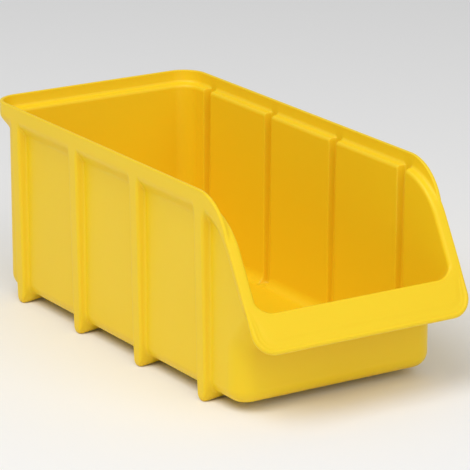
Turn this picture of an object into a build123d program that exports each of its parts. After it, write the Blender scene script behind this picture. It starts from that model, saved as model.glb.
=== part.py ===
"""Open-fronted stacking storage bin, moulded in one shot, drawn zone by zone.

The bin stands on its feet at z = 0.  +X is its right-hand side seen from the
front, +Y runs to the back, +Z is up.  All sizes are in millimetres.
"""
from build123d import *
import math
import os

os.makedirs("parts", exist_ok=True)

# ---------------------------------------------------------------- driving sizes
LENGTH = 302.0            # overall, lip to back rim
WIDTH = 144.8             # overall, across the rim and the lip
HEIGHT = 124.0            # overall, feet to top edge
WALL = 2.2                # wall thickness everywhere

LEDGE_DEPTH = 7.9         # how far the stacking ledge lies below the top edge
LEDGE_WIDTH = 5.2         # from the rim's outer face in to the wall's outer face
WALL_DRAFT = 0.3          # each side wall leans in by this much at the bottom
BASE_CLEARANCE = 4.9      # underside of the floor above the feet
RIM_CORNER = 16.0         # plan radius of the rim's back corners
LIP_CORNER = 13.0         # radius of the lip's two lower corners
BODY_CORNER = 12.5        # plan radius of the body's upright corners
BASE_ROUND = 9.0          # radius where the walls turn into the floor

COLLAR_ANGLE = 60.5       # slope of the front collar, from the horizontal
LIP_LOW = 44.1            # lower edge of the front lip
LIP_HIGH = 66.3           # crest of the front lip
SHOULDER_TOP = 31.2       # radius of the top edge where it turns down the slope
SHOULDER_LEDGE = 40.0     # radius of the ledge where it turns down the slope
FRONT_SET_BACK = 30.0     # front wall behind the foremost edge of the lip
STEP_HEIGHT = 42.0        # where the front wall starts to lean out under the lip
STEP_ROUND = 18.0         # radius of that bend
LIP_BEAD = 1.7            # radius of the bead along the lip's lower edge

RIB_COUNT = 4             # hollow ribs on each side
REAR_RIB_SPACE = 29.5     # from the back of the rim to the middle of the rear rib
RIB_FACE = 9.0            # width of a rib's outer face
RIB_ROOT = 11.6           # width of a rib where it leaves the wall
SEAT_CLEARANCE = 0.5      # between a foot and the rim of the bin it stands in
FOOT_REACH = 17.0         # how far a foot reaches in under the floor
PAD_RISE = 1.3            # how much the inner part of a foot clears the ground

# --------------------------------------------------------------- derived sizes
half_length = LENGTH / 2
half_width = WIDTH / 2
ledge_top = HEIGHT - LEDGE_DEPTH
ledge_under = ledge_top - WALL
wall_top_half = half_width - LEDGE_WIDTH
wall_base_half = wall_top_half - WALL_DRAFT
floor_top = BASE_CLEARANCE + WALL
tray_top = BASE_CLEARANCE + BASE_ROUND
rim_back = half_length
wall_back = rim_back - LEDGE_WIDTH
wall_front = -half_length + FRONT_SET_BACK
slope = math.tan(math.radians(90 - COLLAR_ANGLE))
foot_half = half_width - WALL - SEAT_CLEARANCE
ABOVE = HEIGHT + LIP_LOW  # a height safely over the whole bin
BEYOND = LENGTH           # a length safely past the whole bin
NEAR = 0.5                # an edge whose middle lies this close to a place lies on it
LIP_BLOCK = 3 * WALL      # deep enough to take in the whole thickness of the lip


def collar_y(z):
    """Where the outer face of the sloping collar lies at height z."""
    return -half_length + (z - LIP_LOW) * slope


shoulder_start = collar_y(HEIGHT) + SHOULDER_TOP * math.tan(math.radians(COLLAR_ANGLE / 2))
rear_rib = rim_back - REAR_RIB_SPACE
rib_pitch = (rear_rib - shoulder_start) / (RIB_COUNT - 1)
rib_places = [shoulder_start + n * rib_pitch for n in range(RIB_COUNT)]
crest = (collar_y(LIP_HIGH), LIP_HIGH)


# -------------------------------------------------------------- shape helpers
def side_prism(points, half_across, rounds=()):
    """Extrude a side-view polygon of (y, z) points across the bin; round some corners."""
    face = make_face(Polyline(*points, close=True))
    for (y, z), radius in rounds:
        corner = min(face.vertices(), key=lambda v: math.hypot(v.X - y, v.Y - z))
        face = fillet(corner, radius)
    return extrude(Plane.YZ * face, amount=half_across, both=True)


def slab(x=(-BEYOND, BEYOND), y=(-BEYOND, BEYOND), z=(-ABOVE, ABOVE)):
    """An upright block given by its limits along each axis."""
    sizes = [hi - lo for lo, hi in (x, y, z)]
    middle = [(hi + lo) / 2 for lo, hi in (x, y, z)]
    return Pos(*middle) * Box(*sizes)


def under_ledge(lowered):
    """Everything below the ledge-and-collar surface, moved in by the given amount."""
    shift = lowered / math.sin(math.radians(COLLAR_ANGLE))
    top = ledge_top - lowered
    turn = (collar_y(top) + shift, top)
    low = -ABOVE
    return side_prism(
        [(BEYOND, low), (BEYOND, top), turn, (collar_y(low) + shift, low)],
        BEYOND, [(turn, SHOULDER_LEDGE - lowered)])


def under_rim():
    """Everything below the top edge, its shoulder and the collar."""
    turn = (collar_y(HEIGHT), HEIGHT)
    low = -ABOVE
    return side_prism([(BEYOND, low), (BEYOND, HEIGHT), turn, (collar_y(low), low)],
                      BEYOND, [(turn, SHOULDER_TOP)])


def plan_prism(inset):
    """Upright prism inside the rim's outer face, its back corners rounded."""
    half, back = half_width - inset, rim_back - inset
    outline = slab((-half, half), (-BEYOND, back))
    corners = [e for e in outline.edges().filter_by(Axis.Z) if e.center().Y > 0]
    return fillet(corners, RIM_CORNER - inset)


def body_solid(inset):
    """The body's outer form, or with inset = WALL the hollow inside it."""
    base = BASE_CLEARANCE + inset
    back, front = wall_back - inset, wall_front + inset
    run, rise = crest[0] - (wall_front + WALL), LIP_HIGH - STEP_HEIGHT
    lean = math.hypot(run, rise)
    # the leaning panel is moved square to itself, so it keeps its thickness
    lowered = (WALL - inset) * (lean - rise) / -run
    bend = (front, STEP_HEIGHT - lowered)
    reach = (ABOVE - bend[1]) / rise
    top = (bend[0] + run * reach, ABOVE)
    tall = side_prism([(back, base), (back, ABOVE), top, bend, (front, base)],
                      half_width, [(bend, STEP_ROUND + inset)])
    grow = WALL_DRAFT / (ledge_under - BASE_CLEARANCE)
    low_half = wall_base_half - inset + grow * inset
    high_half = low_half + grow * (ABOVE - base)
    draft = make_face(Polyline((-low_half, base), (low_half, base),
                               (high_half, ABOVE), (-high_half, ABOVE), close=True))
    drafted = tall & extrude(Plane.XZ * draft, amount=BEYOND, both=True)
    uprights = [e for e in drafted.edges()
                if abs(e.center().X) > low_half - NEAR
                and base + NEAR < e.center().Z < ABOVE - NEAR]
    drafted = fillet(uprights, BODY_CORNER - inset)
    foot_ring = [e for e in drafted.edges() if e.center().Z < base + NEAR]
    return fillet(foot_ring, BASE_ROUND - inset)


def rib_face_half(z):
    """Half the bin's width over the ribs at height z."""
    return foot_half + (half_width - foot_half) * z / ledge_under


def rib_outline(y, inset, z, inner):
    """Plan of one right-hand rib at height z, or of its groove with inset = WALL."""
    widen = (RIB_ROOT - RIB_FACE) / 2 / LEDGE_WIDTH
    out, root = rib_face_half(z) - inset, wall_top_half - WALL
    face_half = RIB_FACE / 2 + widen * inset - inset * math.hypot(1, widen)
    root_half = face_half + widen * (out - root)
    outline = make_face(Polyline((out, y - face_half), (out, y + face_half),
                                 (root, y + root_half), (inner, y + root_half),
                                 (inner, y - root_half), (root, y - root_half), close=True))
    return Pos(0, 0, z) * outline


def rib_solid(y, inset, low, high, inner):
    """One right-hand rib as a drafted, wedge-sided post, or its groove with inset = WALL."""
    return loft([rib_outline(y, inset, z, inner) for z in (low, high)])


def mirrored(shape):
    """The same shape on the bin's left-hand side."""
    return mirror(shape, about=Plane.YZ)


def save(name, shape):
    """Write one node, checking that it is a single sound solid."""
    solids = shape.solids()
    if len(solids) != 1:
        print("WARNING", name, "has", len(solids), "solids", [round(s.volume, 2) for s in solids])
    solid = solids[0] if len(solids) == 1 else Compound(solids)
    solid.label = name
    export_step(solid, f"parts/{name}.step")
    box = solid.bounding_box()
    print(f"{name:24s} {solid.volume:10.1f} mm3  {box.size.X:6.1f} {box.size.Y:6.1f} {box.size.Z:6.1f}")


# ------------------------------------------------------------ the whole moulding
outer_body = body_solid(0)
hollow = body_solid(WALL)
below_collar = under_ledge(0)
below_plate = under_ledge(WALL)
shell = (outer_body - hollow) & below_plate

groove_inner = wall_base_half - FOOT_REACH
grooves = [rib_solid(y, WALL, floor_top, ledge_under, groove_inner) for y in rib_places]
# each groove runs on up through the ledge, its back flush with the rim's inner face
gates = [extrude(rib_outline(y, WALL, ledge_under, groove_inner), amount=ABOVE, both=True)
         for y in rib_places]
for groove in grooves:
    shell = shell - groove - mirrored(groove)

print("rib places", [round(y, 2) for y in rib_places], "crest", crest, "pitch", rib_pitch)

# --------------------------------------------------------------------- the body
save("base_tray", shell & slab(z=(0, tray_top)))
upper = shell & slab(z=(tray_top, ABOVE))
back_edge = wall_back - BODY_CORNER
front_edge = wall_front + BODY_CORNER
corner_in = wall_base_half - BODY_CORNER
save("back_wall", upper & slab((-corner_in, corner_in), (back_edge, BEYOND)))
save("front_wall", upper & slab((-corner_in, corner_in), (-BEYOND, 0), (0, STEP_HEIGHT)))
save("front_leaning_panel",
     upper & slab((-corner_in, corner_in), (-BEYOND, 0), (STEP_HEIGHT, ABOVE)))

right_half = upper & slab((corner_in, BEYOND))
pieces = {
    "corner_back": right_half & slab(y=(rib_places[-1], BEYOND)),
    "corner_front": right_half & slab(y=(-BEYOND, front_edge)),
    "side_panel_1": right_half & slab(y=(front_edge, rib_places[0])),
}
for n in range(1, RIB_COUNT):
    pieces[f"side_panel_{n + 1}"] = right_half & slab(y=(rib_places[n - 1], rib_places[n]))
for name, piece in pieces.items():
    save(f"{name}_right", piece)
    save(f"{name}_left", mirrored(piece))

# ----------------------------------------------------------------- ribs and feet
for n, y in enumerate(rib_places, start=1):
    groove = grooves[n - 1]
    rib = (rib_solid(y, 0, tray_top, ledge_under, corner_in) & below_plate) - outer_body - groove
    rib = max(rib.solids(), key=lambda s: s.volume)
    foot = rib_solid(y, 0, 0, tray_top, groove_inner)
    pad_in = foot_half - LEDGE_WIDTH
    foot = foot - slab((0, pad_in), (y - RIB_ROOT, y + RIB_ROOT), (-PAD_RISE, PAD_RISE))
    foot = foot - outer_body - groove
    foot = max(foot.solids(), key=lambda s: s.volume)
    save(f"side_rib_right_{n}", rib)
    save(f"side_rib_left_{n}", mirrored(rib))
    save(f"foot_right_{n}", foot)
    save(f"foot_left_{n}", mirrored(foot))

# ------------------------------------------------------- ledge, collar and lip
plan = plan_prism(0)
plate = ((below_collar - below_plate) & plan) - hollow
for gate in gates:
    plate = plate - gate - mirrored(gate)

angle = math.radians(COLLAR_ANGLE)
collar_plane = Plane(origin=(0, crest[0], crest[1]), x_dir=(1, 0, 0),
                     z_dir=(0, -math.sin(angle), math.cos(angle)))
lip_drop = (LIP_HIGH - LIP_LOW) / math.sin(angle)


def lip_sketch(inset):
    """The lip's outline in the plane of the collar, open-ended upward at the crest."""
    half, low = half_width - inset, -lip_drop + inset
    outline = make_face(Polyline((-half, 0), (half, 0), (half, low), (-half, low), close=True))
    lower = [v for v in outline.vertices() if v.Y < -inset]
    return fillet(lower, LIP_CORNER - inset)


bead_line = (collar_plane * Pos(0, 0, -WALL / 2) * lip_sketch(LIP_BEAD)).edges()
bead_line = [e for e in bead_line if min(v.Z for v in e.vertices()) < LIP_HIGH - LIP_BEAD]
bead_path = Wire(bead_line)
start = Plane(origin=bead_path @ 0, z_dir=bead_path % 0)
bead = sweep(start * Circle(LIP_BEAD), path=bead_path)
bead = bead & extrude(collar_plane * Pos(0, -lip_drop) * Rectangle(BEYOND, 2 * lip_drop),
                      amount=LIP_BLOCK, both=True)
save("lip_edge_bead", bead)
lip_core = extrude(collar_plane * lip_sketch(LIP_BEAD), amount=LIP_BLOCK, both=True)
save("front_lip", (plate & lip_core) - bead)

above_crest = extrude(collar_plane * Pos(0, ABOVE) * Rectangle(BEYOND, 2 * ABOVE),
                      amount=ABOVE, both=True)
ring = plan - plan_prism(WALL)
front_rib, last_rib = rib_places[0], rib_places[-1]
flange = plate & above_crest & slab((0, BEYOND), (-BEYOND, front_rib))
save("side_flange_right", flange)
save("side_flange_left", mirrored(flange))
ledge = plate - ring
for n in range(1, RIB_COUNT):
    segment = ledge & slab((0, BEYOND), (rib_places[n - 1], rib_places[n]))
    save(f"ledge_right_{n}", segment)
    save(f"ledge_left_{n}", mirrored(segment))
save("ledge_back", ledge & slab(y=(last_rib, BEYOND)))

# ---------------------------------------------------------------- the raised rim
back_split = rim_back - RIM_CORNER
rim = ring & under_rim()
# behind the front rib the rim's root runs down past the ledge to meet the ribs
behind = (rim - below_plate) & slab(y=(front_rib, BEYOND))
ahead = (rim - below_collar) & slab(y=(-BEYOND, front_rib))
side_rim = (behind + ahead) & slab((0, BEYOND), (-BEYOND, back_split))
save("rim_right", side_rim)
save("rim_left", mirrored(side_rim))
save("rim_back", behind & slab(y=(back_split, BEYOND)))
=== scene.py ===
"""An open-fronted stacking bin: one plastic moulding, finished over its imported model.

All sizes are in metres.  The bin stands on its feet at z = 0, opens towards -Y, and
+X is its right-hand side seen from the front.
"""

import logging
import math
from dataclasses import dataclass
from enum import Enum

import bmesh
import bpy
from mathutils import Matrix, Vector


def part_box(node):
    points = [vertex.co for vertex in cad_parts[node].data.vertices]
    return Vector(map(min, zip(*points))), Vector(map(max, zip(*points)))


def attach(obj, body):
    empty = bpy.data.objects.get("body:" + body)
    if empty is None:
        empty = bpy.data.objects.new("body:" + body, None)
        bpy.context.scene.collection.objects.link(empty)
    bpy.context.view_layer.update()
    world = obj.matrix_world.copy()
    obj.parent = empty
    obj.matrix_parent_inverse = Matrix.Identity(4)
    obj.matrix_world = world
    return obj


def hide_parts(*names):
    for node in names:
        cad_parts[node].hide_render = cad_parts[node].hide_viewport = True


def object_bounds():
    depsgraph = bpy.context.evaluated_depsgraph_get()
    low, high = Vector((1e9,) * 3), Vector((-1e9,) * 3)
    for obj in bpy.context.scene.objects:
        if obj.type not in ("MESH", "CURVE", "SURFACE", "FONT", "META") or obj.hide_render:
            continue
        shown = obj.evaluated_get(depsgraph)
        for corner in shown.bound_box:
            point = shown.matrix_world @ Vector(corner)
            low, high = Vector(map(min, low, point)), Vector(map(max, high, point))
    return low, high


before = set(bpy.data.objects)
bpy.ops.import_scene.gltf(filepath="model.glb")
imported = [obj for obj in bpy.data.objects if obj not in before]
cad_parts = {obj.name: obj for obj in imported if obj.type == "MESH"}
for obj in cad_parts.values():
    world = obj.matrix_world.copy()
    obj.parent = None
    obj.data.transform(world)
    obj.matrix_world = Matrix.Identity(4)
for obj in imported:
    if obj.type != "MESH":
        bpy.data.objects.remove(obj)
CAD_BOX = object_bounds()

LOG = logging.getLogger("storage_bin")
TINY = 1e-5               # two places closer than this are one
HAIR = TINY / 10          # the reach of a cut, and of an edge too short to keep
SLIGHT = 1e-3             # an angle, in radians, too small to count
NEARLY_ALL = 1 - 1e-4     # a share this large counts as the whole


def mix(a: float, b: float, share: float) -> float:
    """Return the value a given share of the way from a to b."""
    return a + (b - a) * share


def smooth(share: float) -> float:
    """Return an eased 0 to 1 ramp of a share, held at its ends."""
    held = min(1.0, max(0.0, share))
    return held * held * (3 - 2 * held)


class Side(Enum):
    """Which side of the bin a rib stands on."""

    RIGHT = 1
    LEFT = -1


class Skin(Enum):
    """Which face of the moulding's wall is being made."""

    OUTER = "outer"
    INNER = "inner"


@dataclass(frozen=True)
class BinSizes:
    """The moulding's sizes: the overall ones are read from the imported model."""

    half_width: float
    height: float
    rim_back: float
    ledge_top: float
    wall: float
    wall_back: float
    wall_front: float
    wall_top_half: float
    base: float
    round_top: float
    step_height: float
    crest_height: float
    rib_places: tuple[float, ...]
    foot_half: float
    wall_draft: float = 0.0003
    rim_corner: float = 0.016
    lip_corner: float = 0.013
    body_corner: float = 0.0125
    collar_angle: float = math.radians(60.5)
    lip_low: float = 0.0441
    shoulder_top: float = 0.0312
    shoulder_ledge: float = 0.040
    step_round: float = 0.018
    lip_bead: float = 0.0017
    rib_face: float = 0.009
    rib_root: float = 0.0116
    foot_reach: float = 0.017
    pad_rise: float = 0.0013
    pad_width: float = 0.0052

    @classmethod
    def from_frame(cls) -> "BinSizes":
        """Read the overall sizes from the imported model's nodes.

        Returns:
            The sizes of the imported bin.
        """
        ledge_low, ledge_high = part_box("ledge_back")
        tray_low, tray_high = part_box("base_tray")
        front_low, front_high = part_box("front_wall")
        ribs = sorted(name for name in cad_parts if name.startswith("side_rib_right"))
        boxes = [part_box(name) for name in ribs]
        return cls(
            half_width=CAD_BOX[1].x,
            height=CAD_BOX[1].z,
            rim_back=CAD_BOX[1].y,
            ledge_top=ledge_high.z,
            wall=ledge_high.z - ledge_low.z,
            wall_back=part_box("back_wall")[1].y,
            wall_front=front_low.y,
            wall_top_half=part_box("side_panel_2_right")[1].x,
            base=tray_low.z,
            round_top=tray_high.z,
            step_height=front_high.z,
            crest_height=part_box("front_leaning_panel")[1].z,
            rib_places=tuple((low.y + high.y) / 2 for low, high in boxes),
            foot_half=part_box("foot_right_1")[1].x,
        )

    @property
    def slope(self) -> float:
        """How far the collar runs back for each metre that it rises."""
        return math.tan(math.pi / 2 - self.collar_angle)

    @property
    def ledge_width(self) -> float:
        """From the rim's outer face in to the wall's outer face."""
        return self.half_width - self.wall_top_half

    @property
    def rim_height(self) -> float:
        """How far the rim stands above the ledge."""
        return self.height - self.ledge_top

    @property
    def crest(self) -> Vector:
        """The middle of the fold between the lip and the panel behind it."""
        return Vector((0.0, self.collar_y(self.crest_height), self.crest_height))

    @property
    def lip_drop(self) -> float:
        """Length of the lip, down the slope from its crest."""
        return (self.crest_height - self.lip_low) / math.sin(self.collar_angle)

    @property
    def shoulder_centre(self) -> Vector:
        """Centre of the arc on which the ledge turns down into the collar.

        Returns:
            The centre, in the plane x = 0.
        """
        back = self.shoulder_ledge * math.tan(self.collar_angle / 2)
        y = self.collar_y(self.ledge_top) + back
        return Vector((0.0, y, self.ledge_top - self.shoulder_ledge))

    def collar_y(self, z: float) -> float:
        """Return where the collar's outer face lies at a height."""
        return -self.rim_back + (z - self.lip_low) * self.slope

    def wall_half(self, z: float, inset: float) -> float:
        """Return half the width over the side walls at a height, moved in by an inset."""
        share = (z - self.base) / (self.ledge_top - self.wall - self.base)
        return self.wall_top_half - self.wall_draft * (1 - share) - inset

    def rib_half(self, z: float) -> float:
        """Return half the width over the ribs at a height."""
        return mix(self.foot_half, self.half_width, z / (self.ledge_top - self.wall))

    def surface_normal(self, turn: float) -> Vector:
        """Return the normal of the ledge where it has turned down by an angle."""
        return Vector((0.0, -math.sin(turn), math.cos(turn)))

    def turn_at(self, y: float, z: float) -> float:
        """Find how far the ledge has turned down beside a point.

        Args:
            y: The point's place along the bin.
            z: The point's height.

        Returns:
            The angle, from 0 on the level to the collar's angle.
        """
        centre = self.shoulder_centre
        if y >= centre.y:
            return 0.0
        return min(self.collar_angle, math.atan2(centre.y - y, max(z - centre.z, TINY)))

    def rim_height_at(self, turn: float) -> float:
        """Return the rim's height where the ledge has turned down by an angle.

        Args:
            turn: The ledge's turn, from 0 on the level to the collar's angle.

        Returns:
            The height of the top edge over the ledge, measured square to the ledge.
        """
        if turn <= 0.0:
            return self.rim_height
        to_collar = self.shoulder_ledge / math.cos(self.collar_angle - turn)
        reach = self.shoulder_top * math.tan(self.collar_angle / 2)
        top = Vector((0.0, self.collar_y(self.height) + reach, self.height - self.shoulder_top))
        gap = top - self.shoulder_centre
        along = gap.dot(self.surface_normal(turn))
        across = max(0.0, gap.length_squared - along * along)
        to_top = along + math.sqrt(max(0.0, self.shoulder_top ** 2 - across))
        return max(0.0, min(to_collar, to_top) - self.shoulder_ledge)


@dataclass(frozen=True)
class WallSkin:
    """One face of the wall, with its ribs, open along the ledge and the collar."""

    sizes: BinSizes
    skin: Skin
    lowered: float
    corner_steps: int = 16
    round_steps: int = 8
    bend_steps: int = 6
    shoulder_steps: int = 14
    rib_rounding: float = 0.0009
    rib_steps: int = 3
    groove_squareness: float = 0.3
    foot_squareness: float = 0.15
    foot_tip_half: float = 0.0028
    foot_taper: float = 0.006
    sharp: float = math.radians(50)
    spare_height: float = 1.2      # the box is made this many times the bin's height, then cut

    @property
    def inset(self) -> float:
        """How far this face lies inside the outer one."""
        return self.sizes.wall if self.skin is Skin.INNER else 0.0

    @property
    def floor(self) -> float:
        """Height of this face of the floor."""
        return self.sizes.base + self.inset

    @property
    def round_start(self) -> float:
        """Distance from the middle at which the floor starts to turn up."""
        return self.sizes.wall_half(self.sizes.base, 0.0) - (self.sizes.round_top - self.sizes.base)

    @property
    def back_half(self) -> float:
        """Half the width of a rib's outer face, or of its groove's back."""
        widen = (self.sizes.rib_root - self.sizes.rib_face) / 2 / self.sizes.ledge_width
        return self.sizes.rib_face / 2 + (widen - math.hypot(1, widen)) * self.inset

    def mouth_half(self, z: float) -> float:
        """Find half the width of a rib or groove where it leaves the wall.

        Args:
            z: The height.

        Returns:
            Half the width along the bin.
        """
        widen = (self.sizes.rib_root - self.sizes.rib_face) / 2 / self.sizes.ledge_width
        depth = self.sizes.rib_half(z) - self.sizes.wall_half(z, 0.0)
        return self.back_half + widen * depth

    def build(self) -> bmesh.types.BMesh:
        """Make the whole face.

        Returns:
            A mesh with one open edge, along the ledge and the collar.
        """
        bm = bmesh.new()
        self.make_rounded_box(bm)
        self.cut_stations(bm)
        self.draft_walls(bm)
        for place in self.sizes.rib_places:
            for side in Side:
                self.raise_rib(bm, place, side)
        bmesh.ops.remove_doubles(bm, verts=bm.verts, dist=TINY)
        bm.normal_update()
        lowest = self.floor + self.rib_rounding if self.skin is Skin.INNER else -1.0
        sharp = [e for e in bm.edges if not e.is_boundary and e.calc_face_angle(0.0) > self.sharp
                 and min(v.co.z for v in e.verts) > lowest]
        bmesh.ops.bevel(bm, geom=sharp, offset=self.rib_rounding, offset_type="OFFSET",
                        segments=self.rib_steps, profile=0.5, affect="EDGES", material=-1,
                        loop_slide=True, clamp_overlap=False)
        self.lean_front(bm)
        self.trim_top(bm)
        return bm

    def make_rounded_box(self, bm: bmesh.types.BMesh) -> None:
        """Make the open box with its rounded upright corners and rounded floor edge.

        Args:
            bm: The empty mesh to fill.
        """
        s = self.sizes
        half = s.wall_half(s.base, self.inset)
        front, back = s.wall_front + self.inset, s.wall_back - self.inset
        top = s.height * self.spare_height
        bmesh.ops.create_cube(bm, size=1.0)
        bmesh.ops.scale(bm, vec=(2 * half, back - front, top - self.floor), verts=bm.verts)
        middle = Vector((0.0, (back + front) / 2, (top + self.floor) / 2))
        bmesh.ops.translate(bm, vec=middle, verts=bm.verts)
        bm.normal_update()
        lid = [f for f in bm.faces if f.normal.z > 0.9]
        bmesh.ops.delete(bm, geom=lid, context="FACES_ONLY")
        uprights = [e for e in bm.edges if abs(e.verts[0].co.z - e.verts[1].co.z) > TINY]
        bmesh.ops.bevel(bm, geom=uprights, offset=s.body_corner - self.inset,
                        offset_type="OFFSET", segments=self.corner_steps, profile=0.5,
                        affect="EDGES", material=-1, clamp_overlap=False)
        ring = [e for e in bm.edges if max(v.co.z for v in e.verts) < self.floor + TINY]
        bmesh.ops.bevel(bm, geom=ring, offset=s.round_top - self.floor,
                        offset_type="OFFSET", segments=self.round_steps, profile=0.5,
                        affect="EDGES", material=-1, clamp_overlap=False)

    def cut(self, bm: bmesh.types.BMesh, place: Vector, normal: Vector, trim: bool = False) -> None:
        """Cut the mesh along a plane, and take off what lies beyond it if asked.

        Args:
            bm: The mesh to cut.
            place: A point on the plane.
            normal: The plane's normal.
            trim: Whether to remove what lies on the normal's side.
        """
        geom = [*bm.verts, *bm.edges, *bm.faces]
        bmesh.ops.bisect_plane(bm, geom=geom, dist=HAIR, plane_co=place,
                               plane_no=normal, clear_outer=trim)

    def cut_stations(self, bm: bmesh.types.BMesh) -> None:
        """Add the edges that the ribs, the feet and the front's bend need.

        Args:
            bm: The wall face to change.
        """
        s = self.sizes
        across, upright = Vector((0.0, 1.0, 0.0)), Vector((0.0, 0.0, 1.0))
        for place in s.rib_places:
            half = self.mouth_half(s.ledge_top)
            for edge in (place - half, place + half):
                self.cut(bm, Vector((0.0, edge, 0.0)), across)
        if self.skin is Skin.OUTER:
            reach = s.wall_half(s.base, 0.0) - s.foot_reach
            for x in (-reach, reach):
                self.cut(bm, Vector((x, 0.0, 0.0)), Vector((1.0, 0.0, 0.0)))
        start, end, _ = self.bend()
        for n in range(self.bend_steps + 1):
            z = mix(start, end, n / self.bend_steps)
            self.cut(bm, Vector((0.0, 0.0, z)), upright)

    def draft_walls(self, bm: bmesh.types.BMesh) -> None:
        """Lean the side walls out a little towards the top.

        Args:
            bm: The wall face to change.
        """
        s = self.sizes
        base_half = s.wall_half(s.base, self.inset)
        corner = s.body_corner - self.inset
        for v in bm.verts:
            share = max(0.0, (abs(v.co.x) - base_half + corner) / corner)
            if v.co.z > s.round_top - TINY:
                grown = s.wall_half(v.co.z, self.inset) - base_half
                v.co.x += math.copysign(grown * share, v.co.x)

    def raise_rib(self, bm: bmesh.types.BMesh, place: float, side: Side) -> None:
        """Push one strip of the wall out into a rib with its foot, or into its groove.

        Args:
            bm: The mesh to change.
            place: Where the middle of the rib lies along the bin.
            side: Which wall the rib stands on.
        """
        s = self.sizes
        cut_half = self.mouth_half(s.ledge_top)
        is_foot = self.skin is Skin.OUTER
        reach = s.wall_half(s.base, 0.0) - s.foot_reach if is_foot else self.round_start
        strip = [f for f in bm.faces
                 if abs(f.calc_center_median().y - place) < cut_half
                 and f.calc_center_median().x * side.value > reach]
        mouth = {v for f in strip for v in f.verts}
        made = bmesh.ops.extrude_face_region(bm, geom=strip)["geom"]
        left_over = [f for f in strip if f.is_valid]
        bmesh.ops.delete(bm, geom=left_over, context="FACES")
        for v in (g for g in made if isinstance(g, bmesh.types.BMVert)):
            self.place_rib_point(v, place, side)
        for v in (m for m in mouth if m.is_valid):
            way = math.copysign(1.0, v.co.y - place)
            v.co.y = place + way * self.mouth_half(v.co.z)

    def place_rib_point(self, v: bmesh.types.BMVert, place: float, side: Side) -> None:
        """Move one point of a pushed-out strip to the rib's or groove's own outline.

        Args:
            v: The point.
            place: Where the middle of the rib lies along the bin.
            side: Which wall the rib stands on.
        """
        s = self.sizes
        way = math.copysign(1.0, v.co.y - place)
        turn_radius = s.round_top - self.floor
        x, z = abs(v.co.x), v.co.z
        if z > s.round_top - TINY:
            x = s.rib_half(z) - self.inset
            v.co = Vector((side.value * x, place + way * self.back_half, z))
            return
        turn = math.acos(min(1.0, max(0.0, (s.round_top - z) / turn_radius)))
        if self.skin is Skin.INNER:
            if turn < SLIGHT:
                v.co.y = place + way * self.mouth_half(z)
                return
            face = s.rib_half(s.round_top) - self.inset
            x = mix(self.round_start, face, math.sin(turn) ** self.groove_squareness)
            z = mix(s.round_top, self.floor, math.cos(turn) ** self.groove_squareness)
            v.co = Vector((side.value * x, place + way * self.back_half, z))
            return
        if turn > SLIGHT:
            face = s.rib_half(s.round_top)
            x = mix(self.round_start, face, math.sin(turn) ** self.foot_squareness)
        # the tip is flat on the ground as far as the second step of the floor's rounding
        level = math.cos(math.pi / self.round_steps) ** self.foot_squareness
        z = s.round_top * max(0.0, 1 - max(0.0, math.cos(turn)) ** self.foot_squareness / level)
        rise = s.pad_rise * (1 - smooth((x - s.foot_half + s.pad_width) / s.pad_rise))
        z = max(z, rise)
        half = mix(self.foot_tip_half, self.back_half, smooth(z / self.foot_taper))
        v.co = Vector((side.value * x, place + way * half, z))

    def bend(self) -> tuple[float, float, float]:
        """Work out where the front wall bends to lean out under the lip.

        Returns:
            The heights of the bend's start, its end, and the corner that it rounds.
        """
        s = self.sizes
        run = s.wall_front + s.wall - s.crest.y
        rise = s.crest_height - s.step_height
        middle = s.step_height - (s.wall - self.inset) * (math.hypot(run, rise) - rise) / run
        lean, radius = math.atan2(run, rise), s.step_round + self.inset
        start = middle - radius * math.tan(lean / 2)
        return start, start + radius * math.sin(lean), middle

    def lean_front(self, bm: bmesh.types.BMesh) -> None:
        """Lean the upper part of the front wall out towards the lip.

        Args:
            bm: The wall face to change.
        """
        s = self.sizes
        start, end, middle = self.bend()
        run, rise = s.wall_front + s.wall - s.crest.y, s.crest_height - s.step_height
        radius = s.step_round + self.inset
        limit = s.wall_front + s.body_corner + TINY
        for v in bm.verts:
            if v.co.y > limit or v.co.z <= start:
                continue
            if v.co.z < end:
                v.co.y -= radius - math.sqrt(radius ** 2 - (v.co.z - start) ** 2)
            else:
                v.co.y -= (v.co.z - middle) * run / rise

    def trim_top(self, bm: bmesh.types.BMesh) -> None:
        """Take off everything above the lowered ledge, its shoulder and the collar.

        Args:
            bm: The wall face to change.
        """
        s = self.sizes
        for n in range(self.shoulder_steps + 1):
            normal = s.surface_normal(s.collar_angle * n / self.shoulder_steps)
            place = s.shoulder_centre + normal * (s.shoulder_ledge - self.lowered)
            self.cut(bm, place, normal, trim=True)


@dataclass(frozen=True)
class EdgeSizes:
    """The roundings of the ledge, the rim and the lip, and the swept underside."""

    fold: float = 0.0022             # radius between the wall and the ledge
    crest_fold: float = 0.0011       # radius along the lip's crest
    fillet: float = 0.0020           # radius between the ledge and the rim
    top: float = 0.0006              # radius along the rim's top
    lowered: float = 0.0026          # the inner wall stops this far below the ledge
    fold_steps: int = 5
    upright_steps: int = 3           # steps down the rim's outer face
    haunch: float = 0.0105           # the outer wall stops this far below the ledge
    haunch_top: float = 0.0009       # the rim's outer face ends this far above the ledge
    haunch_gap: float = 0.0010       # from there down to the end of the sweep
    haunch_steps: int = 8
    outer_rib_rounding: float = 0.0016
    lip_back: float = 0.0041         # the sweep under the lip stops this far from its edge
    climb_first: float = 0.9         # the sweep leaves the panel at this share of its climb
    turn_to_lip: float = 0.5         # share of a corner over which the side becomes the lip
    most_of_room: float = 0.7        # the edge's section takes at most this share of the front's room
    bead_stand: float = 0.0003       # how far the bead stands above the lip
    crease_depth: float = 0.00025    # depth of the crease beside the bead
    # the crease's section: distance from the lip's edge in bead radii, share of its depth
    crease: tuple[tuple[float, float], ...] = (
        (5.6, 0.0), (4.5, 0.25), (3.7, 1.0), (2.9, 0.9), (2.3, 0.15))
    bead_degrees: tuple[int, ...] = (40, 65, 100, 140, 180, 225, 290)


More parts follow.
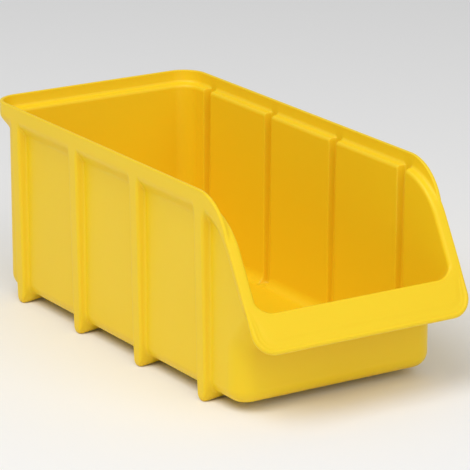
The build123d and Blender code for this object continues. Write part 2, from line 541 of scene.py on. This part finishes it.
class Station:
    """One place along the opening's edge, from which the ledge or lip is grown outwards."""

    def __init__(self, point: Vector, sizes: BinSizes, edges: EdgeSizes, skin: Skin) -> None:
        """Find what a point of a wall face's open edge grows into.

        Args:
            point: The point of the open edge.
            sizes: The bin's sizes.
            edges: The sizes of the ledge, rim and lip.
            skin: Which face the point belongs to.
        """
        self.sizes = sizes
        self.edges = edges
        self.turn = sizes.turn_at(point.y, point.z)
        self.normal = sizes.surface_normal(self.turn)
        is_inner = skin is Skin.INNER
        self.inset = sizes.wall if is_inner else 0.0
        self.lowered = edges.lowered if is_inner else edges.haunch
        self.foot = point + self.normal * self.lowered
        self.rim = sizes.rim_height_at(self.turn)
        self.way = math.copysign(1.0, self.foot.x)
        self.arc_top = 0.0
        corner = sizes.body_corner - self.inset
        half = sizes.wall_half(point.z, self.inset)
        share = min(1.0, max(0.0, (abs(point.x) - half + corner) / corner))
        self.bow = math.acos(share)
        self.is_front = point.y < 0 and point.z < sizes.shoulder_centre.z and share < NEARLY_ALL
        self.is_back = point.y > sizes.wall_back - self.inset - corner + TINY

    @property
    def down(self) -> Vector:
        """Direction down the collar."""
        angle = self.sizes.collar_angle
        return Vector((0.0, -math.cos(angle), -math.sin(angle)))

    @property
    def front_share(self) -> float:
        """How much this place belongs to the lip: 0 on the sides, 1 along the front."""
        return smooth(self.bow / (math.pi / 2) / self.edges.turn_to_lip) if self.is_front else 0.0

    def outline(self, inset: float) -> Vector:
        """Find where the moulding's outer edge lies from here.

        Args:
            inset: How far to stay inside the edge.

        Returns:
            The point, in the surface of the ledge, the collar or the lip.
        """
        s = self.sizes
        radius = s.lip_corner if self.is_front else s.rim_corner
        stretch = (s.half_width - radius) / (s.wall_top_half - s.body_corner)
        if self.is_front:
            straight = s.lip_drop - radius - self.arc_top
            length = self.bow / (math.pi / 2) * (straight + radius * math.pi / 2)
            if length <= straight:
                across, along = s.half_width - inset, self.arc_top + length
            else:
                turn = min(math.pi / 2, (length - straight) / radius)
                across = s.half_width - radius + (radius - inset) * math.cos(turn)
                along = s.lip_drop - radius + (radius - inset) * math.sin(turn)
            if self.bow > math.pi / 2 - SLIGHT:
                across, along = abs(self.foot.x) * stretch, s.lip_drop - inset
            return s.crest + self.down * along + Vector((self.way * across, 0.0, 0.0))
        if self.is_back:
            across = s.half_width - radius + (radius - inset) * math.cos(self.bow)
            along = s.rim_back - radius + (radius - inset) * math.sin(self.bow)
            if self.bow > math.pi / 2 - SLIGHT:
                across, along = abs(self.foot.x) * stretch, s.rim_back - inset
            return Vector((self.way * across, along, self.foot.z))
        return Vector((self.way * (s.half_width - inset), self.foot.y, self.foot.z))

    def fold_point(self, share: float) -> Vector:
        """Return a point of the rounding between the wall and the ledge or lip.

        Args:
            share: 0 where the rounding leaves the wall, 1 where it meets the ledge.

        Returns:
            The point.
        """
        e = self.edges
        inner = mix(math.pi / 2, self.lip_angle, self.front_share)
        radius = mix(e.fold, e.crest_fold, self.front_share)
        corner = -self.lowered / math.tan(inner) if self.front_share > 0 else 0.0
        turn = 1.5 * math.pi - inner - share * (math.pi - inner)
        out = corner + radius / math.tan(inner / 2) + radius * math.cos(turn)
        up = -radius + radius * math.sin(turn)
        way = (self.outline(0.0) - self.foot).normalized()
        return self.foot + way * (out * self.ledge_share()) + self.normal * up

    def haunch_point(self, share: float) -> Vector:
        """Return a point of the swept underside that carries the wall out to the rim or lip.

        Args:
            share: 0 on the wall, 1 at the outer edge.

        Returns:
            The point.
        """
        s, e = self.sizes, self.edges
        end = self.edge_bottom - e.haunch_gap
        gap = self.outline(0.0) - self.foot
        side = self.foot + gap * smooth(share) + self.normal * mix(-self.lowered, end, share)
        if self.front_share == 0.0:
            return side
        # under the lip it follows the leaning panel up, then the back of the lip
        bottom = -s.wall
        corner = -(self.lowered + bottom) / math.tan(self.lip_angle)
        climb = min(1.0, 2 * share)
        away = smooth(2 * share - e.climb_first)
        reach = max(0.0, gap.length - e.lip_back)
        out = mix(corner * climb, reach, away)
        front = self.foot + gap.normalized() * out + self.normal * mix(-self.lowered, bottom, climb)
        return side.lerp(front, self.front_share)

    @property
    def edge_bottom(self) -> float:
        """Height of the outer edge's lower end over the ledge."""
        share = min(1.0, self.rim / self.sizes.rim_height)
        return mix(self.edges.top - self.sizes.wall, self.edges.haunch_top, share)

    @property
    def lip_angle(self) -> float:
        """The angle between the lip and the panel that leans out behind it.

        Returns:
            The angle in radians.
        """
        s = self.sizes
        lean = math.atan2(s.wall_front + s.wall - s.crest.y, s.crest_height - s.step_height)
        return lean + math.pi / 2 - s.collar_angle

    def ledge_share(self) -> float:
        """Return how much of the ledge's width lies outside this place."""
        gap = (self.outline(self.sizes.wall) - self.foot).length
        return min(1.0, gap / self.sizes.ledge_width)

    def edge_point(self, side: tuple[float, float], lip: tuple[float, float]) -> Vector:
        """Return a point of the outer edge's section.

        Args:
            side: Inset and height on the ledge and rim.
            lip: Inset and height on the front lip.

        Returns:
            The point.
        """
        inset = mix(side[0], lip[0], self.front_share)
        up = mix(side[1], lip[1], self.front_share)
        room = (self.outline(0.0) - self.foot).length
        if self.is_front:
            inset = min(inset, self.edges.most_of_room * room)
        place = self.outline(inset) + self.normal * up
        place.z = min(place.z, self.sizes.height)
        return place


Places = dict[bmesh.types.BMVert, Station]


@dataclass(frozen=True)
class EdgeSection:
    """The section of the ledge and rim, and of the lip, as rings from inside to outside."""

    sizes: BinSizes
    edges: EdgeSizes

    def side_points(self, place: Station) -> list[tuple[float, float]]:
        """Work out the section of the ledge and rim at a place.

        Args:
            place: The place along the opening's edge.

        Returns:
            The inset and height of each ring, from the ledge to the rim's lower end.
        """
        wall, top, rim = self.sizes.wall, self.edges.top, place.rim
        fillet = self.edges.fillet * min(1.0, rim / (2 * self.edges.fillet))
        width = self.edges.fillet * place.ledge_share()
        inner_top = top * min(1.0, rim / (2 * top))
        part = 1 - math.sqrt(0.5)
        steps = self.edges.upright_steps
        return [
            (wall + width, 0.0), (wall + part * width, part * fillet), (wall, fillet),
            (wall, rim - inner_top), (wall - part * inner_top, rim - part * inner_top),
            (wall - inner_top, rim), (top, rim), (part * top, rim - part * top),
            *((0.0, mix(rim - top, place.edge_bottom, n / steps)) for n in range(steps + 1)),
        ]

    def lip_points(self) -> list[tuple[float, float]]:
        """Work out the lip's section, with its crease and bead.

        Returns:
            The inset and height of each ring, from the lip's face round its edge.
        """
        bead, depth = self.sizes.lip_bead, self.edges.crease_depth
        middle = self.edges.bead_stand - bead
        points = [(away * bead, -share * depth) for away, share in self.edges.crease]
        for degrees in self.edges.bead_degrees:
            turn = math.radians(degrees)
            points.append((bead + bead * math.cos(turn), bead * math.sin(turn) + middle))
        return points


@dataclass(frozen=True)
class Finish:
    """Satin polypropylene, coloured right through."""

    name: str = "satin_polypropylene"
    colour: tuple[float, float, float] = (0.93, 0.645, 0.014)
    shade: tuple[float, float, float] = (0.91, 0.62, 0.013)
    worn: tuple[float, float, float] = (0.80, 0.47, 0.05)
    roughness: tuple[float, float] = (0.36, 0.46)
    ior: float = 1.49
    specular: float = 0.3
    subsurface: float = 0.12
    subsurface_reach: tuple[float, float, float] = (1.0, 0.45, 0.08)
    subsurface_scale: float = 0.004
    cloud: tuple[float, float] = (14.0, 3.0)       # scale and detail
    grain: tuple[float, float] = (2600.0, 2.0)
    wave: tuple[float, float] = (38.0, 1.0)
    grain_depth: float = 0.00003
    wave_depth: float = 0.00025
    relief_strength: float = 0.5
    wear_height: float = 0.004                     # scuffing fades out at this height
    wear_strength: float = 0.7
    wear_dulling: float = 0.25
    patches: tuple[float, float] = (420.0, 4.0)

    def build(self) -> bpy.types.Material:
        """Make the material.

        Returns:
            The new material.
        """
        material = bpy.data.materials.new(self.name)
        material.use_nodes = True
        nodes, links = material.node_tree.nodes, material.node_tree.links
        shader = nodes["Principled BSDF"]
        shader.inputs["IOR"].default_value = self.ior
        shader.inputs["Specular IOR Level"].default_value = self.specular
        shader.inputs["Subsurface Weight"].default_value = self.subsurface
        shader.inputs["Subsurface Radius"].default_value = self.subsurface_reach
        shader.inputs["Subsurface Scale"].default_value = self.subsurface_scale
        place = nodes.new("ShaderNodeTexCoord")

        cloud = self.noise(nodes, links, place, self.cloud)
        tint = nodes.new("ShaderNodeMix")
        tint.data_type = "RGBA"
        tint.inputs["A"].default_value = (*self.colour, 1.0)
        tint.inputs["B"].default_value = (*self.shade, 1.0)
        links.new(cloud.outputs["Fac"], tint.inputs["Factor"])

        wear = self.wear_mask(nodes, links, place)
        worn = nodes.new("ShaderNodeMix")
        worn.data_type = "RGBA"
        worn.inputs["B"].default_value = (*self.worn, 1.0)
        links.new(wear.outputs[0], worn.inputs["Factor"])
        links.new(tint.outputs["Result"], worn.inputs["A"])
        links.new(worn.outputs["Result"], shader.inputs["Base Color"])

        gloss = nodes.new("ShaderNodeMapRange")
        gloss.inputs["To Min"].default_value = self.roughness[0]
        gloss.inputs["To Max"].default_value = self.roughness[1]
        links.new(cloud.outputs["Fac"], gloss.inputs["Value"])
        dull = nodes.new("ShaderNodeMath")
        dull.operation = "MULTIPLY_ADD"
        dull.inputs[1].default_value = self.wear_dulling
        links.new(wear.outputs[0], dull.inputs[0])
        links.new(gloss.outputs["Result"], dull.inputs[2])
        links.new(dull.outputs[0], shader.inputs["Roughness"])

        wave = self.bump(nodes, links, place, self.wave, self.wave_depth)
        grain = self.bump(nodes, links, place, self.grain, self.grain_depth)
        links.new(wave.outputs["Normal"], grain.inputs["Normal"])
        links.new(grain.outputs["Normal"], shader.inputs["Normal"])
        return material

    def noise(self, nodes: bpy.types.Nodes, links: bpy.types.NodeLinks, place: bpy.types.Node,
              pattern: tuple[float, float]) -> bpy.types.Node:
        """Make one noise pattern that stays with the piece.

        Args:
            nodes: The material's nodes.
            links: The material's links.
            place: The texture coordinate node.
            pattern: The noise's scale and detail.

        Returns:
            The noise node.
        """
        noise = nodes.new("ShaderNodeTexNoise")
        noise.inputs["Scale"].default_value, noise.inputs["Detail"].default_value = pattern
        links.new(place.outputs["Object"], noise.inputs["Vector"])
        return noise

    def wear_mask(self, nodes: bpy.types.Nodes, links: bpy.types.NodeLinks,
                  place: bpy.types.Node) -> bpy.types.Node:
        """Make a patchy mask of the scuffed lower ends of the feet.

        Args:
            nodes: The material's nodes.
            links: The material's links.
            place: The texture coordinate node.

        Returns:
            The node whose first output is the mask.
        """
        split = nodes.new("ShaderNodeSeparateXYZ")
        links.new(place.outputs["Object"], split.inputs[0])
        low = nodes.new("ShaderNodeMapRange")
        low.inputs["From Min"].default_value = 0.0
        low.inputs["From Max"].default_value = self.wear_height
        low.inputs["To Min"].default_value = self.wear_strength
        low.inputs["To Max"].default_value = 0.0
        links.new(split.outputs["Z"], low.inputs["Value"])
        patches = self.noise(nodes, links, place, self.patches)
        mask = nodes.new("ShaderNodeMath")
        mask.operation = "MULTIPLY"
        links.new(low.outputs["Result"], mask.inputs[0])
        links.new(patches.outputs["Fac"], mask.inputs[1])
        return mask

    def bump(self, nodes: bpy.types.Nodes, links: bpy.types.NodeLinks, place: bpy.types.Node,
             pattern: tuple[float, float], depth: float) -> bpy.types.Node:
        """Make one layer of surface relief from noise.

        Args:
            nodes: The material's nodes.
            links: The material's links.
            place: The texture coordinate node.
            pattern: The noise's scale and detail.
            depth: The relief's depth.

        Returns:
            The bump node.
        """
        noise = self.noise(nodes, links, place, pattern)
        relief = nodes.new("ShaderNodeBump")
        relief.inputs["Strength"].default_value = self.relief_strength
        relief.inputs["Distance"].default_value = depth
        links.new(noise.outputs["Fac"], relief.inputs["Height"])
        return relief


@dataclass(frozen=True)
class Moulding:
    """The whole bin, as one continuous wall with its ledge, rim, lip, ribs and feet."""

    sizes: BinSizes
    edges: EdgeSizes
    finish: Finish
    name: str = "bin_moulding"
    shading_weight: int = 80

    def build(self) -> bpy.types.Object:
        """Make the moulding's mesh and its object.

        Returns:
            The new object, at the origin.
        """
        bm = WallSkin(self.sizes, Skin.INNER, self.edges.lowered).build()
        self.grow_edge(bm)
        outer = WallSkin(self.sizes, Skin.OUTER, self.edges.haunch,
                         rib_rounding=self.edges.outer_rib_rounding).build()
        self.grow_haunch(outer)
        spare = bpy.data.meshes.new("outer_face")
        outer.to_mesh(spare)
        outer.free()
        bm.from_mesh(spare)
        bpy.data.meshes.remove(spare)
        loops = [e for e in bm.edges if e.is_boundary]
        bmesh.ops.bridge_loops(bm, edges=loops)
        bmesh.ops.remove_doubles(bm, verts=bm.verts, dist=TINY)
        bmesh.ops.dissolve_degenerate(bm, dist=HAIR, edges=bm.edges)
        bmesh.ops.recalc_face_normals(bm, faces=bm.faces)
        open_edges = sum(1 for e in bm.edges if len(e.link_faces) != 2)
        LOG.info("moulding: %d faces, %d open edges", len(bm.faces), open_edges)
        mesh = bpy.data.meshes.new(self.name)
        bm.to_mesh(mesh)
        bm.free()
        mesh.shade_smooth()
        piece = bpy.data.objects.new(self.name, mesh)
        bpy.context.scene.collection.objects.link(piece)
        return piece

    def grow_edge(self, bm: bmesh.types.BMesh) -> None:
        """Grow the ledge, the rim and the lip outwards from the inner wall's open edge.

        Args:
            bm: The inner wall face.
        """
        ring, places = self.open_edge(bm, Skin.INNER)
        section = EdgeSection(self.sizes, self.edges)
        lip = section.lip_points()
        for n in range(self.edges.fold_steps + 1):
            share = n / self.edges.fold_steps
            ring, places = self.grow_ring(bm, ring, places)
            for v, place in places.items():
                v.co = place.fold_point(share)
        for n, lip_point in enumerate(lip):
            ring, places = self.grow_ring(bm, ring, places)
            for v, place in places.items():
                v.co = place.edge_point(section.side_points(place)[n], lip_point)

    def grow_haunch(self, bm: bmesh.types.BMesh) -> None:
        """Grow the swept underside outwards from the outer wall's open edge.

        Args:
            bm: The outer wall face.
        """
        ring, places = self.open_edge(bm, Skin.OUTER)
        for n in range(1, self.edges.haunch_steps + 1):
            ring, places = self.grow_ring(bm, ring, places)
            for v, place in places.items():
                v.co = place.haunch_point(n / self.edges.haunch_steps)

    def open_edge(self, bm: bmesh.types.BMesh,
                  skin: Skin) -> tuple[list[bmesh.types.BMEdge], Places]:
        """Find a wall face's open edge, and the station of each of its points.

        Args:
            bm: The wall face.
            skin: Which face it is.

        Returns:
            The open edges, and the station of each of their vertices.
        """
        ring = [e for e in bm.edges if e.is_boundary]
        points = {v for e in ring for v in e.verts}
        places = {v: Station(v.co.copy(), self.sizes, self.edges, skin) for v in points}
        sides = [p for p in places.values() if not p.is_front and p.foot.y < 0]
        lowest = min(sides, key=lambda p: p.foot.z)
        for p in places.values():
            p.arc_top = (lowest.foot - self.sizes.crest).dot(lowest.down)
        return ring, places

    def grow_ring(self, bm: bmesh.types.BMesh, ring: list[bmesh.types.BMEdge],
                  places: Places) -> tuple[list[bmesh.types.BMEdge], Places]:
        """Extrude one more ring of edges.

        Args:
            bm: The mesh.
            ring: The edges to extrude.
            places: The station of each of their vertices.

        Returns:
            The new edges, and the station of each new vertex.
        """
        made = bmesh.ops.extrude_edge_only(bm, edges=ring)["geom"]
        points = [g for g in made if isinstance(g, bmesh.types.BMVert)]
        fresh = set(points)
        grown = {}
        for v in points:
            old = next(e.other_vert(v) for e in v.link_edges if e.other_vert(v) in places)
            grown[v] = places[old]
        edges = [g for g in made if isinstance(g, bmesh.types.BMEdge)
                 and g.verts[0] in fresh and g.verts[1] in fresh]
        return edges, grown

    def dress(self, piece: bpy.types.Object) -> None:
        """Give the moulding its finish, and let it stand for every node of the model.

        Args:
            piece: The moulding's object.
        """
        piece.data.materials.append(self.finish.build())
        weighted = piece.modifiers.new("even_shading", "WEIGHTED_NORMAL")
        weighted.mode = "FACE_AREA_WITH_ANGLE"
        weighted.weight = self.shading_weight
        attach(piece, "root")
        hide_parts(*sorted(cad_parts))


@dataclass(frozen=True)
class SoftLight:
    """One square panel of soft light."""

    name: str
    place: tuple[float, float, float]
    size: float
    power: float


@dataclass(frozen=True)
class Studio:
    """A plain pale floor, soft light and the camera."""

    target: tuple[float, float, float] = (0.0, 0.0132, 0.0648)
    azimuth: float = math.radians(-32.1182)
    elevation: float = math.radians(16.7942)
    distance: float = 1.85865
    lens: float = 240.48
    shift: tuple[float, float] = (0.0513, -0.0167)
    floor_size: float = 12.0
    floor_greys: tuple[float, float] = (0.90, 0.93)
    floor_cloud_scale: float = 3.0
    floor_roughness: float = 0.8
    air_strength: float = 0.42
    far_clip: float = 100.0
    lights: tuple[SoftLight, ...] = (
        SoftLight("key_light", (-1.1, -0.4, 2.0), 1.6, 28.0),
        SoftLight("front_light", (0.1, -1.8, 1.4), 1.8, 14.0),
    )

    def build(self) -> None:
        """Set up the floor, the lights, the world and the camera."""
        self.make_floor()
        self.make_camera()
        for light in self.lights:
            self.hang_light(light)
        world = bpy.data.worlds.new("studio_air")
        world.use_nodes = True
        air = world.node_tree.nodes["Background"]
        air.inputs["Color"].default_value = (1.0, 1.0, 1.0, 1.0)
        air.inputs["Strength"].default_value = self.air_strength
        bpy.context.scene.world = world
        bpy.context.scene.view_settings.view_transform = "Standard"

    def make_floor(self) -> None:
        """Lay a wide pale floor under the bin."""
        bm = bmesh.new()
        bmesh.ops.create_grid(bm, x_segments=4, y_segments=4, size=self.floor_size)
        mesh = bpy.data.meshes.new("studio_floor")
        bm.to_mesh(mesh)
        bm.free()
        floor = bpy.data.objects.new("studio_floor", mesh)
        bpy.context.scene.collection.objects.link(floor)
        material = bpy.data.materials.new("pale_floor")
        material.use_nodes = True
        nodes, links = material.node_tree.nodes, material.node_tree.links
        noise = nodes.new("ShaderNodeTexNoise")
        noise.inputs["Scale"].default_value = self.floor_cloud_scale
        ramp = nodes.new("ShaderNodeMix")
        ramp.data_type = "RGBA"
        for socket, grey in zip("AB", self.floor_greys):
            ramp.inputs[socket].default_value = (grey, grey, grey, 1.0)
        links.new(noise.outputs["Fac"], ramp.inputs["Factor"])
        links.new(ramp.outputs["Result"], nodes["Principled BSDF"].inputs["Base Color"])
        nodes["Principled BSDF"].inputs["Roughness"].default_value = self.floor_roughness
        floor.data.materials.append(material)

    def make_camera(self) -> None:
        """Place the camera at the front left, a little above the bin."""
        back = Vector((math.sin(self.azimuth) * math.cos(self.elevation),
                       -math.cos(self.azimuth) * math.cos(self.elevation),
                       math.sin(self.elevation)))
        lens = bpy.data.cameras.new("studio_camera")
        lens.lens = self.lens
        lens.shift_x, lens.shift_y = self.shift
        lens.clip_end = self.far_clip
        camera = bpy.data.objects.new("studio_camera", lens)
        camera.location = Vector(self.target) + back * self.distance
        camera.rotation_mode = "QUATERNION"
        camera.rotation_quaternion = (-back).to_track_quat("-Z", "Y")
        bpy.context.scene.collection.objects.link(camera)
        bpy.context.scene.camera = camera

    def hang_light(self, light: SoftLight) -> None:
        """Hang one soft light, aimed at the bin.

        Args:
            light: Its name, place, size in metres and power in watts.
        """
        panel = bpy.data.lights.new(light.name, "AREA")
        panel.size, panel.energy = light.size, light.power
        lamp = bpy.data.objects.new(light.name, panel)
        lamp.location = Vector(light.place)
        lamp.rotation_mode = "QUATERNION"
        lamp.rotation_quaternion = (Vector(self.target) - lamp.location).to_track_quat("-Z", "Y")
        bpy.context.scene.collection.objects.link(lamp)


def main() -> None:
    """Build the bin and its studio, and report each piece."""
    logging.basicConfig(level=logging.INFO, format="%(name)s: %(message)s")
    sizes = BinSizes.from_frame()
    Studio().build()
    moulding = Moulding(sizes, EdgeSizes(), Finish())
    piece = moulding.build()
    moulding.dress(piece)
    LOG.info("%s: %d vertices", piece.name, len(piece.data.vertices))


if __name__ == "__main__":
    main()
